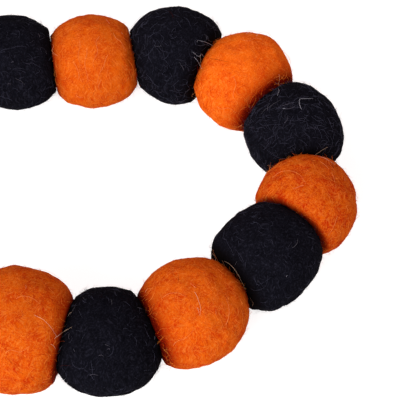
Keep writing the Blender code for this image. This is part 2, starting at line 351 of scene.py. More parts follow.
def ripple_height(directions, ripple, seed):
    """A soft unevenness: many waves that run over the ball in random directions."""
    random = np.random.default_rng(seed)
    toward = unit(random.normal(size=(ripple.waves, 3)))
    pace = random.uniform(*ripple.pace, ripple.waves)
    start = random.uniform(0, math.tau, ripple.waves)
    waves = np.cos(directions @ toward.T * pace + start)
    return ripple.height * waves.sum(1) * math.sqrt(2 / ripple.waves)


# A pressed face that two balls share. direction runs along the thread, and dish is signed by it.
Contact = namedtuple("Contact", "middle direction half_gap dish")


def contact_between(earlier, later, dish):
    """The plane half way between two pressed faces, from the corners that nearly touch."""
    tree = node_tree(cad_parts[later])
    corners = corner_points(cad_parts[earlier])
    found = [tree.find_nearest(Vector(corner)) for corner in corners]
    gaps = np.array([gap for _, _, _, gap in found])
    pressed = gaps < gaps.min() + FACE_DEPTH
    if pressed.sum() < LEAST_CORNERS:
        raise RuntimeError(f"{earlier} and {later} don't press on each other")
    opposite = np.array([place for place, _, _, _ in found])
    halfway = (corners + opposite)[pressed] / 2
    middle = halfway.mean(0)
    direction = np.linalg.svd(halfway - middle)[2][2]
    onward = box_middle(later) - box_middle(earlier)
    half_gap = np.median(gaps[pressed]) / 2
    return Contact(middle, direction * np.sign(direction @ onward), half_gap, dish)


def box_middle(name):
    low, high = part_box(name)
    return np.array((low + high) / 2)


class FeltBall:
    """A ball's finished form, kept as the distance from its middle to its skin in every direction."""

    def __init__(self, name, index, contacts):
        self.name, self.index, self.contacts = name, index, contacts
        self.middle = box_middle(name)
        corners = corner_points(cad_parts[name]) - self.middle
        reach = np.linalg.norm(corners, axis=1)
        corners = corners[reach > INNER_SHARE * np.median(reach)]
        corners = corners[spread_out(unit(corners))]
        reach = np.linalg.norm(corners, axis=1)
        self.toward = unit(corners)
        self.mean = reach.mean()
        bond = nearness(self.toward, self.toward) + CORNER_SLACK * np.eye(len(corners))
        self.weights = np.linalg.solve(bond, reach - self.mean)

    def reach(self, directions):
        reach = self.mean + nearness(directions, self.toward) @ self.weights
        for ripple in (ROLLED, MATTED):
            reach += ripple_height(directions, ripple, (SKIN_SEED, self.index, ripple.waves))
        for contact, side in self.contacts:
            reach = self.pressed(directions, reach, contact, side)
        down = -directions[:, 2]
        floor = self.middle[2] / np.maximum(down, LEAST_DOWN)
        return np.minimum(reach, np.where(down > LEAST_DOWN, floor, reach))

    def pressed(self, directions, reach, contact, side):
        """Swells the skin on to a shared face and stops it just short of the neighbour's."""
        outward = contact.direction * side
        facing = directions @ outward
        place = directions * reach[:, None] + (self.middle - contact.middle)
        left = -(place @ outward)
        aside = (place * place).sum(1) - left * left
        dish = side * contact.dish * np.exp(-aside / DISH_SPREAD**2)
        pull = np.exp(-((np.maximum(left - contact.half_gap, 0) / FACE_PULL) ** 2))
        move = pull * (left + dish - PRESSED_CLEARANCE) / np.maximum(facing, LEAST_FACING)
        return np.where(facing > LEAST_FACING, reach + move, reach)

    def points(self, directions, lift=0.0):
        shape = directions.shape
        flat = directions.reshape(-1, 3)
        reach = self.reach(flat) + np.broadcast_to(lift, shape[:-1]).reshape(-1)
        return (self.middle + flat * reach[:, None]).reshape(shape)

    def left_to_faces(self, directions):
        """How far the skin in each direction still is from each shared face."""
        place = self.points(directions)
        left = [(contact.middle - place) @ (contact.direction * side) for contact, side in self.contacts]
        return np.array(left)

    def crease_shade(self, directions):
        """How far painted shade darkens the wool where the neighbours press on it, from 0 to 1."""
        shade = np.zeros(len(directions))
        for (_, side), left in zip(self.contacts, self.left_to_faces(directions)):
            crease_shade = CREASE_SHADES.get((self.name, side), USUAL_CREASE_SHADE)
            shade = np.maximum(shade, crease_shade.share * np.exp(-np.maximum(left, 0) / crease_shade.fade))
        return np.minimum(shade, 1)

    def tone(self):
        """How bright this ball's wool is painted: painted light and shade for the listed balls, the dye's
        chance spread for the others.
        """
        chance = np.random.default_rng((SKIN_SEED, self.index)).uniform(-TONE_SPREAD, TONE_SPREAD)
        return LIT_AND_SHADED_TONES.get(self.name, 1 + chance)


def measure_balls():
    """All the balls of the frame, in order along the thread, with the faces they share."""
    names = ball_names()
    pairs = enumerate(zip(names, names[1:]))
    shared = [contact_between(*pair, DISH * (-1) ** number) for number, pair in pairs]
    balls = []
    for index, name in enumerate(names):
        contacts = [(shared[index - 1], -1)] if index else []
        contacts += [(shared[index], 1)] if index < len(shared) else []
        balls.append(FeltBall(name, index, contacts))
    return {ball.name: ball for ball in balls}


BALLS = measure_balls()


# Meshes


def add_object(name, points, faces, materials, slots=None):
    mesh = bpy.data.meshes.new(name)
    mesh.from_pydata(np.asarray(points).tolist(), [], faces)
    for material in materials:
        mesh.materials.append(material)
    if slots is not None:
        mesh.polygons.foreach_set("material_index", slots)
    mesh.shade_smooth()
    mesh.validate()
    obj = bpy.data.objects.new(name, mesh)
    bpy.context.scene.collection.objects.link(obj)
    return obj


def ball_grid(divisions):
    """A cube's grid blown up to a ball with even faces: its directions and its faces."""
    bm = bmesh.new()
    bmesh.ops.create_cube(bm, size=2)
    bmesh.ops.subdivide_edges(bm, edges=bm.edges[:], cuts=divisions - 1, use_grid_fill=True)
    directions = unit(np.tan(np.array([v.co for v in bm.verts]) * math.pi / 4))
    faces = [tuple(v.index for v in face.verts) for face in bm.faces]
    bm.free()
    return directions, faces


def tubes(paths, normals, radii, sides):
    """Closed tubes along many paths at once: their points, faces, and the tube that each face is of.

    paths and normals are (tubes, points, 3) and radii (tubes, points). The first side of each
    ring looks along the normal.
    """
    count, steps = radii.shape
    ahead = np.empty_like(paths)
    ahead[:, 1:-1] = paths[:, 2:] - paths[:, :-2]
    ahead[:, 0] = paths[:, 1] - paths[:, 0]
    ahead[:, -1] = paths[:, -1] - paths[:, -2]
    side = unit(np.cross(unit(ahead), normals))
    up = np.cross(side, unit(ahead))
    turns = math.pi / 2 + np.arange(sides) * math.tau / sides
    ring = side[:, :, None] * np.cos(turns)[:, None] + up[:, :, None] * np.sin(turns)[:, None]
    points = (paths[:, :, None] + ring * radii[:, :, None, None]).reshape(-1, 3)

    index = np.arange(count * steps * sides).reshape(count, steps, sides)
    following = np.roll(index, -1, axis=2)
    walls = np.stack([index[:, :-1], following[:, :-1], following[:, 1:], index[:, 1:]], -1)
    ends = np.stack([index[:, 0, ::-1], index[:, -1]], 1)
    faces = walls.reshape(-1, 4).tolist() + ends.reshape(-1, sides).tolist()
    tube = np.arange(count)
    return points, faces, np.concatenate([np.repeat(tube, (steps - 1) * sides), np.repeat(tube, 2)])


def joined(parts):
    """Several meshes' points and faces as one mesh's."""
    points, faces, first = [], [], 0
    for part_points, part_faces in parts:
        points.append(part_points)
        faces += [tuple(first + corner for corner in face) for face in part_faces]
        first += len(part_points)
    return np.concatenate(points), faces


# Fibres


def tangents(directions, grain, angles):
    """Headings over the skin: round the grain's axis, turned by each angle."""
    level = unit(np.cross(grain, directions))
    square = np.cross(directions, level)
    return level * np.cos(angles)[:, None] + square * np.sin(angles)[:, None]


def fibre_starts(ball, coat, count, random):
    """Random places of the skin that the neighbours don't cover, as directions."""
    found = np.empty((0, 3))
    while len(found) < count:
        starts = unit(random.normal(size=(count * 3, 3)))
        left = ball.left_to_faces(starts).min(0)
        found = np.concatenate([found, starts[(left > START_CLEARANCE) & (left < coat.near * MM)]])
    return found[:count]


def turned(heading, normal, angle):
    return heading * np.cos(angle)[:, None] + np.cross(normal, heading) * np.sin(angle)[:, None]


def first_headings(ball, starts, random):
    """Headings along the ball's grain, which swirls from place to place."""
    grain = unit(np.random.default_rng((FIBRE_SEED, ball.index)).normal(size=3))
    swirl = ripple_height(starts, SWIRL, (FIBRE_SEED, ball.index, SWIRL_SEED))
    return tangents(starts, grain, swirl * GRAIN_SWIRL + random.normal(0, GRAIN_SPREAD, len(starts)))


def lying_paths(ball, coat, starts, step, rise, random):
    """Fibres that walk over the skin, turning as they go, and dip into it at both ends."""
    here, heading = starts, first_headings(ball, starts, random)
    curl = random.normal(0, coat.curl, len(starts))
    directions = [here]
    for _ in range(coat.points - 1):
        heading = turned(heading, here, curl + random.normal(0, coat.curl / 2, len(starts)))
        angle = (step / ball.mean)[:, None]
        onward = heading * np.cos(angle) - here * np.sin(angle)
        here = here * np.cos(angle) + heading * np.sin(angle)
        heading = onward
        directions.append(here)
    directions = np.stack(directions, 1)
    arch = np.sin(np.linspace(0, math.pi, coat.points))
    return ball.points(directions, arch * (rise[:, None] + coat.sink * MM) - coat.sink * MM)


def free_paths(ball, coat, starts, step, rise, random):
    """Fibres that leave the skin and stand away from it, curling."""
    heading = first_headings(ball, starts, random)
    heading = turned(heading, starts, random.uniform(0, math.tau, len(starts)))
    climb = np.arcsin(np.minimum(rise / (step * (coat.points - 1)), STEEPEST_RISE))[:, None]
    curl = random.normal(0, coat.curl, len(starts))
    here = ball.points(starts, -coat.sink * MM)
    paths = [here]
    for _ in range(coat.points - 1):
        heading = turned(heading, starts, curl + random.normal(0, coat.curl / 2, len(starts)))
        here = here + step[:, None] * (heading * np.cos(climb) + starts * np.sin(climb))
        paths.append(here)
    return np.stack(paths, 1)


def comb(ball, coat, count, random):
    """The paths, normals and radii of one coat's fibres."""
    starts = fibre_starts(ball, coat, count, random)
    step = random.uniform(*coat.length, count) * MM / (coat.points - 1)
    rise = random.uniform(*coat.rise, count) * MM
    lay = free_paths if coat.free else lying_paths
    paths = lay(ball, coat, starts, step, rise, random)
    thick = random.uniform(*coat.thickness, count)[:, None] * MM / 2
    along = np.linspace(0, 1, coat.points)
    fullness = 1 - along if coat.free else np.sin(math.pi * along)
    radii = thick * (TIP_SHARE + (1 - TIP_SHARE) * np.sqrt(np.maximum(fullness, 0)))
    paths[..., 2] = np.maximum(paths[..., 2], radii)
    return paths, np.repeat(starts[:, None], coat.points, 1), radii


def coat_ball(ball, colour, count):
    """All of a ball's fibres as one mesh, with a material for each tint."""
    parts, slots = [], []
    for number, coat in enumerate(COATS.values()):
        random = np.random.default_rng((FIBRE_SEED, ball.index, number, COAT_SEED))
        points, faces, owner = tubes(*comb(ball, coat, round(count * coat.share), random), FIBRE_SIDES)
        parts.append((points, faces))
        shares = np.array(coat.tints) * (1, 1, FRIZZ.get(ball.name, 1), 1)
        slots.append(random.choice(len(TINTS), owner.max() + 1, p=shares / shares.sum())[owner])
    points, faces = joined(parts)
    materials = [fibre_material(colour, tint) for tint in TINTS]
    return add_object(f"fibres_{ball.name}", points, faces, materials, np.concatenate(slots))


# Thread


def walked_along(path):
    """How far along the path each of its points is."""
    return np.concatenate([[0], np.cumsum(np.linalg.norm(np.diff(path, axis=0), axis=1))])


def smooth_path(stops, shares):
    """The points at some shares of the length of a curve that passes through all the stops."""
    stops = np.asarray(stops)
    stops = np.concatenate([2 * stops[:1] - stops[1:2], stops, 2 * stops[-1:] - stops[-2:-1]])
    along = np.linspace(0, 1, STEPS_TO_STOP, endpoint=False)[:, None]
    pieces = []
    for before, start, end, after in zip(stops, stops[1:], stops[2:], stops[3:]):
        bend = (end - before) + (4 * end - 5 * start - after + 2 * before) * along
        bend = bend + (3 * start - before - 3 * end + after) * along**2
        pieces.append(start + bend * along / 2)
    pieces.append(stops[-2:-1])
    path = np.concatenate(pieces)
    walked = walked_along(path)
    return np.stack([np.interp(shares * walked[-1], walked, path[:, axis]) for axis in range(3)], 1)


def carried_sides(path):
    """The way ahead at each point of a path, and one square to it, carried along untwisted."""
    ahead = unit(np.gradient(path, axis=0))
    side = unit(np.cross(ahead[0], OBLIQUE))
    sides = []
    for forward in ahead:
        side = unit(side - forward * (side @ forward))
        sides.append(side)
    return ahead, np.array(sides)


def plies_of(path):
    """The plies' middle lines, the directions from the thread's middle to them, and their radii."""
    ahead, side = carried_sides(path)
    across = np.cross(ahead, side)
    walked = walked_along(path)
    to_end = np.minimum(walked, walked[-1] - walked)
    fray = np.clip(1 - to_end / FRAY_LENGTH, 0, 1)
    paths, outward = [], []
    for ply in range(PLIES):
        turn = math.tau * (walked / PLY_PITCH + ply / PLIES)
        away = side * np.cos(turn)[:, None] + across * np.sin(turn)[:, None]
        outward.append(away)
        spread = FRAY_SPREAD + FRAY_UNEVENNESS * ply
        paths.append(path + away * (PLY_OFFSET * (1 + fray * spread))[:, None])
    radii = np.tile(PLY_ACROSS / 2 * (1 - FRAY_TAPER * fray**2), (PLIES, 1))
    return np.array(paths), np.array(outward), radii


def knot_stops(name, beside):
    """The way of the thread from an end ball: out along its middle, back in turns, and out as a tail."""
    outward = unit(box_middle(name) - box_middle(beside))
    corners = corner_points(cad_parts["thread"])
    end = box_middle(name) + outward * ((corners - box_middle(name)) @ outward).max()
    start = end - outward * KNOT_AND_TAIL
    side = unit(np.cross((0, 0, 1), outward))
    up = np.cross(outward, side)
    steps = KNOT_TURNS * STOPS_A_TURN
    wound = []
    for i in range(steps + 1):
        away = KNOT_TO + (KNOT_FROM - KNOT_TO) * i / steps
        wound.append(Stop(away, KNOT_RADIUS, math.tau * KNOT_TURNS * i / steps))
    stops = []
    for away, radius, turn in (*KNOT_WAY_OUT, *wound, *KNOT_TAIL):
        stops.append(start + outward * away + (side * math.cos(turn) + up * math.sin(turn)) * radius)
    return stops


def thread_path():
    """The whole thread, through the middles of the balls and of the faces that they share."""
    names = ball_names()
    balls = [BALLS[name] for name in names]
    stops = knot_stops(names[0], names[1])[::-1] + [balls[0].middle]
    for ball in balls[1:]:
        stops += [ball.contacts[0][0].middle, ball.middle]
    stops += knot_stops(names[-1], names[-2])
    knot = np.linspace(0, KNOT_SHARE, KNOT_POINTS, endpoint=False)
    run = np.linspace(KNOT_SHARE, 1 - KNOT_SHARE, RUN_POINTS)
    return smooth_path(stops, np.concatenate([knot, run, 1 - knot[::-1]]))


# Stray hairs


def photo_point(stage, skins, pixel, lift, depth):
    """Where a hair passes at a pixel of the photograph, and how far its ray runs to a skin.

    Past the skins' rims the ray keeps the last depth.
    """
    place, right, up, ahead = camera_view(stage)
    middle = PHOTO_SIDE / 2
    ray = ahead * stage.focal_pixels + right * (pixel[0] - middle) + up * (middle - pixel[1])
    ray.normalize()
    _, _, _, found = skins.ray_cast(place, ray)
    depth = found or depth
    return place + ray * (depth - lift), depth


def hair_path(stage, skins, hair):
    """A hair's way over the skins: rooted at its first point, and free at its last."""
    depth = stage.distance
    stops = []
    for pixel in hair.pixels:
        lift = hair.lift * MM if stops else -HAIR_ROOT
        stop, depth = photo_point(stage, skins, pixel, lift, depth)
        stops.append(stop)
    return smooth_path(stops, np.linspace(0, 1, HAIR_POINTS))


def hair_mesh(stage, skins, hairs):
    """All the hairs of one tint as tapered tubes."""
    paths = np.array([hair_path(stage, skins, hair) for hair in hairs])
    facing = -np.array(camera_view(stage)[3])
    radii = HAIR_ACROSS / 2 * (1 - HAIR_TAPER * np.linspace(0, 1, HAIR_POINTS) ** 2)
    paths[..., 2] = np.maximum(paths[..., 2], HAIR_ACROSS)
    normals = np.broadcast_to(facing, paths.shape)
    points, faces, _ = tubes(paths, normals, np.tile(radii, (len(hairs), 1)), HAIR_SIDES)
    return points, faces


# Materials


WOOL_GLOSS, WOOL_ROUGHNESS = 0.02, 0.8
FELT_ROUGHNESS = (0.86, 0.98)
FELT_BUMP = {"Strength": 0.5, "Distance": 0.08 * MM}
THREAD_GLOSS, THREAD_ROUGHNESS = 0.15, 0.85
THREAD_BUMP = {"Strength": 0.6, "Distance": 0.06 * MM}


def socket(group, name, kind, way):
    group.interface.new_socket(name, in_out=way, socket_type=kind)


class Nodes:
    """A node tree with short words for the nodes that it takes."""

    def __init__(self, tree):
        self.tree = tree

    def add(self, kind, inputs=None, **values):
        node = self.tree.nodes.new(kind)
        for name, value in values.items():
            setattr(node, name, value)
        for name, value in (inputs or {}).items():
            self.feed(node.inputs[name], value)
        return node

    def feed(self, target, value):
        if isinstance(value, bpy.types.NodeSocket):
            self.tree.links.new(value, target)
        else:
            target.default_value = value

    def maths(self, operation, first, second=0.0):
        return self.add("ShaderNodeMath", {0: first, 1: second}, operation=operation).outputs[0]

    def ramp(self, value, low, high, start=0.0, end=1.0):
        inputs = {"Value": value, "From Min": low, "From Max": high, "To Min": start, "To Max": end}
        return self.add("ShaderNodeMapRange", inputs, interpolation_type="SMOOTHSTEP").outputs[0]

    def noise(self, place, noise):
        inputs = {"Vector": place, "Scale": noise.scale, "Detail": noise.detail, "Roughness": noise.roughness}
        return self.add("ShaderNodeTexNoise", inputs)

    def mix(self, share, first, second):
        return self.add("ShaderNodeMix", {0: share, 6: first, 7: second}, data_type="RGBA").outputs[2]

    def scaled(self, vector, factor):
        return self.add("ShaderNodeVectorMath", {0: vector, "Scale": factor}, operation="SCALE").outputs[0]

    def place_in_mm(self):
        return self.scaled(self.add("ShaderNodeTexCoord").outputs["Object"], 1 / MM)

    def painted(self, name):
        """A value that the skin's points carry."""
        return self.add("ShaderNodeAttribute", attribute_name=name).outputs["Fac"]


# The patterns: how many spots they have a millimetre, in how much detail and how rough
Noise = namedtuple("Noise", "scale detail roughness")
DRIFT = Noise(0.3, 1.0, 0.5)
CLOUD = Noise(0.3, 3.0, 0.6)
SPECK = Noise(3.4, 2.0, 0.6)
YARN = Noise(3.0, 3.0, 0.6)

# One layer of drawn fibres: the turn of its grain in degrees, its pattern and its strength
Strand = namedtuple("Strand", "turn noise strength")
STRANDS = (
    Strand((20, 70, 10), Noise(1.9, 1.0, 0.5), 1.0),
    Strand((75, -30, 40), Noise(2.7, 1.0, 0.5), 1.0),
    Strand((-40, 15, 85), Noise(4.0, 1.0, 0.5), 0.9),
    Strand((10, -60, -35), Noise(6.5, 1.0, 0.5), 0.8),
)
# The levels of a strand's pattern between which fibres rise and gaps sink
RAISED, SUNKEN = (0.56, 0.74), (0.26, 0.44)
STRAND_STRETCH = 0.11
# How far the strands wander, in millimetres
STRAND_DRIFT = 3.0


def felt_group():
    """Matted wool: curled fibres over a mottled ground, scaled by each ball's dye and painted light, with
    painted shade in the creases.
    """
    group = bpy.data.node_groups.get("felt_wool")
    if group:
        return group
    group = bpy.data.node_groups.new("felt_wool", "ShaderNodeTree")
    for name in ("CreaseShade", "Deep", "Wool", "Light"):
        socket(group, name, "NodeSocketColor", "INPUT")
    for name in ("Mottling", "Fibres"):
        socket(group, name, "NodeSocketFloat", "INPUT")
    socket(group, "Color", "NodeSocketColor", "OUTPUT")
    socket(group, "Height", "NodeSocketFloat", "OUTPUT")
    socket(group, "Roughness", "NodeSocketFloat", "OUTPUT")
    n = Nodes(group)
    given = n.add("NodeGroupInput").outputs
    result = n.add("NodeGroupOutput")

    in_mm = n.place_in_mm()
    drift = n.scaled(n.noise(in_mm, DRIFT).outputs["Color"], STRAND_DRIFT)
    wavy = n.add("ShaderNodeVectorMath", {0: in_mm, 1: drift}, operation="ADD").outputs[0]

    raised = sunken = None
    for strand in STRANDS:
        laid = n.add("ShaderNodeMapping", {
            "Vector": wavy,
            "Rotation": tuple(math.radians(angle) for angle in strand.turn),
            "Scale": (1, 1, STRAND_STRETCH),
        }).outputs[0]
        level = n.noise(laid, strand.noise).outputs[0]
        high = n.ramp(level, *RAISED, 0.0, strand.strength)
        low = n.ramp(level, *SUNKEN, strand.strength, 0.0)
        raised = high if raised is None else n.maths("MAXIMUM", raised, high)
        sunken = low if sunken is None else n.maths("MAXIMUM", sunken, low)

    cloud = n.ramp(n.noise(in_mm, CLOUD).outputs[0], 0.36, 0.7, 0.0, 0.8)
    speck = n.noise(in_mm, SPECK).outputs[0]
    mottle = n.maths("ADD", cloud, n.maths("MULTIPLY", sunken, 0.7))
    mottle = n.maths("ADD", mottle, n.ramp(speck, 0.3, 0.7, -0.3, 0.3))
    mottle = n.maths("MULTIPLY", mottle, n.painted("mottle"))
    colour = n.mix(n.maths("MULTIPLY", mottle, given["Mottling"]), given["Wool"], given["Deep"])
    colour = n.mix(n.maths("MULTIPLY", raised, given["Fibres"]), colour, given["Light"])
    # Each ball's brightness: painted light and shade on the listed balls, the dye's chance spread on the rest
    colour = n.scaled(colour, n.painted("tone"))
    # Painted shade in the creases, made ragged by the specks, first to the deep colour and then to the darker
    # shade colour
    crease_shade = n.painted("crease_shade")
    crease_shade = n.maths("ADD", crease_shade, n.maths("MULTIPLY", crease_shade, n.ramp(speck, 0.2, 0.8, 0.3, -0.3)))
    colour = n.mix(crease_shade, n.mix(crease_shade, colour, given["Deep"]), given["CreaseShade"])
    height = n.maths("ADD", n.maths("MULTIPLY", raised, 0.6), n.maths("MULTIPLY", speck, 0.5))
    n.feed(result.inputs["Color"], colour)
    n.feed(result.inputs["Height"], height)
    n.feed(result.inputs["Roughness"], n.ramp(speck, 0.2, 0.8, *FELT_ROUGHNESS))
    return group


def srgb(red, green, blue):
    """A colour read as the screen shows it, 0 to 255, made linear."""
    channels = []
    for value in (red, green, blue):
        share = value / 255
        channels.append(share / 12.92 if share <= 0.04045 else ((share + 0.055) / 1.055) ** 2.4)
    return (*channels, 1.0)


def wool_colours(colour):
    """The four tints of one wool, from the settings."""
    wool = getattr(bpy.context.scene, f"garland_{colour}")
    return {tint: (*getattr(wool, tint), 1.0) for tint in TINTS}


def new_material(name, roughness, gloss):
    """A material, its shader, and a hand that adds nodes to it."""
    material = bpy.data.materials.new(name)
    material.use_nodes = True
    shader = material.node_tree.nodes["Principled BSDF"]
    shader.inputs["Roughness"].default_value = roughness
    shader.inputs["Specular IOR Level"].default_value = gloss
    return material, shader, Nodes(material.node_tree)


def felt_material(colour):
    name = f"matted_wool_{colour}"
    if name in bpy.data.materials:
        return bpy.data.materials[name]
    wool = getattr(bpy.context.scene, f"garland_{colour}")
    tints = wool_colours(colour)
    material, shader, n = new_material(name, WOOL_ROUGHNESS, WOOL_GLOSS)
    # The group darkens the creases to the first colour given below, as painted shade
    felt = n.add("ShaderNodeGroup", {
        "CreaseShade": (*wool.crease_shade, 1.0),
        "Deep": tints["deep"],
        "Wool": tints["mid"],
        "Light": tints["light"],
        "Mottling": wool.mottling,
        "Fibres": wool.fibre_lines,
    }, node_tree=felt_group())
    bump = n.add("ShaderNodeBump", {"Height": felt.outputs["Height"], **FELT_BUMP})
    n.feed(shader.inputs["Base Color"], felt.outputs["Color"])
    n.feed(shader.inputs["Roughness"], felt.outputs["Roughness"])
    n.feed(shader.inputs["Normal"], bump.outputs["Normal"])
    return material


def plain_wool(name, colour):
    """One loose fibre's material. A fibre is too thin to show a pattern, so its colour is even."""
    if name in bpy.data.materials:
        return bpy.data.materials[name]
    material, shader, _ = new_material(name, WOOL_ROUGHNESS, WOOL_GLOSS)
    shader.inputs["Base Color"].default_value = colour
    return material


def fibre_material(colour, tint):
    return plain_wool(f"fibre_{colour}_{tint}", wool_colours(colour)[tint])


def thread_material():
    """Spun yarn: fine fibres that slant round the strand, some of them lighter, from wear and as a painted
    highlight where they catch the light.
    """
    material, shader, n = new_material("twisted_thread", THREAD_ROUGHNESS, THREAD_GLOSS)
    slant = {"Vector": n.place_in_mm(), "Rotation": (0.4, 0.9, 0.6), "Scale": (1, 1, 0.25)}
    laid = n.add("ShaderNodeMapping", slant).outputs[0]
    level = n.noise(laid, YARN).outputs[0]
    thread = bpy.context.scene.garland_thread
    # The lighter fibres: partly wear, partly a painted highlight
    colour = n.mix(n.ramp(level, 0.45, 0.72), (*thread.cotton, 1.0), (*thread.worn_and_lit, 1.0))
    bump = n.add("ShaderNodeBump", {"Height": level, **THREAD_BUMP})
    n.feed(shader.inputs["Base Color"], colour)
    n.feed(shader.inputs["Normal"], bump.outputs["Normal"])
    return material


# Settings


def amount(name, description, default, **extra):
    return FloatProperty(name=name, description=description, default=default, **extra)


def share(name, description, default):
    return amount(name, description, default, subtype="FACTOR", min=0, max=1)


def colour_of(name, description, value):
    return FloatVectorProperty(
        name=name, description=description, default=value[:3], subtype="COLOR", size=3, min=0, max=1
    )


class GARLAND_PG_orange(bpy.types.PropertyGroup):
    """The orange wool"""

    # Painted shade: the colour that the wool darkens to where a black neighbour presses
    crease_shade: colour_of("CreaseShade", "The colour where a black neighbour presses", srgb(84, 10, 2))
    deep: colour_of("Deep", "The rust colour of the mottles and of the deeper fibres", srgb(197, 39, 0))
    mid: colour_of("Wool", "The wool's main colour", srgb(233, 102, 12))
    light: colour_of("Light", "The colour of the fibres that catch the light", srgb(252, 150, 62))
    pale: colour_of("Pale", "The colour of the few undyed hairs", srgb(248, 190, 140))
    mottling: share("Mottling", "How far the mottles go to the deep colour", 0.55)
    fibre_lines: share("Fibre lines", "How light the matted fibres are", 0.42)


class GARLAND_PG_black(bpy.types.PropertyGroup):
    """The black wool"""

    # Painted shade: the colour that the wool darkens to where an orange neighbour presses
    crease_shade: colour_of("CreaseShade", "The colour where an orange neighbour presses", srgb(9, 7, 8))
    deep: colour_of("Deep", "The colour between the fibres", srgb(8, 8, 13))
    mid: colour_of("Wool", "The wool's main colour, a blue-black", srgb(14, 15, 23))
    light: colour_of("Light", "The colour of the fibres that catch the light", srgb(78, 79, 98))
    pale: colour_of("Pale", "The colour of the few undyed hairs", srgb(118, 116, 126))
    mottling: share("Mottling", "How far the mottles go to the deep colour", 0.6)
    fibre_lines: share("Fibre lines", "How light the matted fibres are", 0.16)


class GARLAND_PG_coat(bpy.types.PropertyGroup):
    """The fibres that the balls wear"""

    count: IntProperty(name="Fibres", description="The number of fibres on each ball", default=1200, min=0)


class GARLAND_PG_thread(bpy.types.PropertyGroup):
    """The thread's colours"""

    cotton: colour_of("Cotton", "The black cotton of the plies", srgb(24, 23, 27))
    # Partly wear, partly a painted highlight on fibres that catch the light
    worn_and_lit: colour_of("WornAndLit", "Fibres of the cotton that catch the light", srgb(64, 62, 68))


class GARLAND_PG_hairs(bpy.types.PropertyGroup):
    """The stray hairs' colours"""

    straw: colour_of("Straw", "Undyed hairs, nearly white where the light falls", srgb(225, 196, 165))
    ash: colour_of("Ash", "Grey-blue hairs in the black wool", srgb(198, 203, 218))
    ginger: colour_of("Ginger", "Orange hairs that lie over black wool", srgb(250, 172, 122))
    smoke: colour_of("Smoke", "Faint hairs in the black wool", srgb(104, 102, 116))
    amber: colour_of("Amber", "Light hairs in the orange wool", srgb(255, 168, 96))
    rust: colour_of("Rust", "Dark red-brown hairs", srgb(70, 18, 6))
    crimson: colour_of("Crimson", "Deep red hairs along the black wool's rim", srgb(150, 26, 20))


class GARLAND_PG_stage(bpy.types.PropertyGroup):
    """Camera, lights and floor"""

    target: FloatVectorProperty(
        name="Looks at", description="The place on the floor in the middle of the view",
        default=(0.0554, 0.0033, 0.0), subtype="TRANSLATION", unit="LENGTH", size=3,
    )
    elevation: amount("Elevation", "The camera's angle above the floor", math.radians(60), subtype="ANGLE")
    distance: amount("Distance", "From the camera to the place that it looks at", 0.3, unit="LENGTH")
    focal_pixels: amount("Focal length", "The focal length in pixels of the photograph", 1188.0)
    daylight: amount("Daylight", "Strength of the even light from all round", 0.56)
    key_light: amount("Key light", "Power of the large soft light, front left", 3.85, unit="POWER")
    floor_glow: amount("Floor glow", "How much whiter the camera sees the floor", 0.85)
    floor_fill: amount("Floor fill", "Light that the floor throws on the balls", 0.3)


# The stage's fixed values, in metres. The tint is the even light's colour.
CLIP_START, CLIP_END = 0.01, 10.0
DAYLIGHT_TINT = (1.0, 0.8, 0.78, 1.0)
KEY_PLACE, KEY_AIM = (-0.27, -0.47, 0.41), (0.03, 0.0, 0.01)
KEY_ACROSS = 0.5
FLOOR_REACH = 4.0
FLOOR_GREY, FLOOR_LIGHT = (0.45, 0.45, 0.45, 1.0), (1.0, 1.0, 1.0, 1.0)


# Operators


def camera_view(stage):
    """The camera's place and the directions right, up and ahead in its picture."""
    target = Vector(stage.target)
    back = Vector((0, -math.cos(stage.elevation), math.sin(stage.elevation)))
    right = Vector((1, 0, 0))
    return target + back * stage.distance, right, back.cross(right), -back


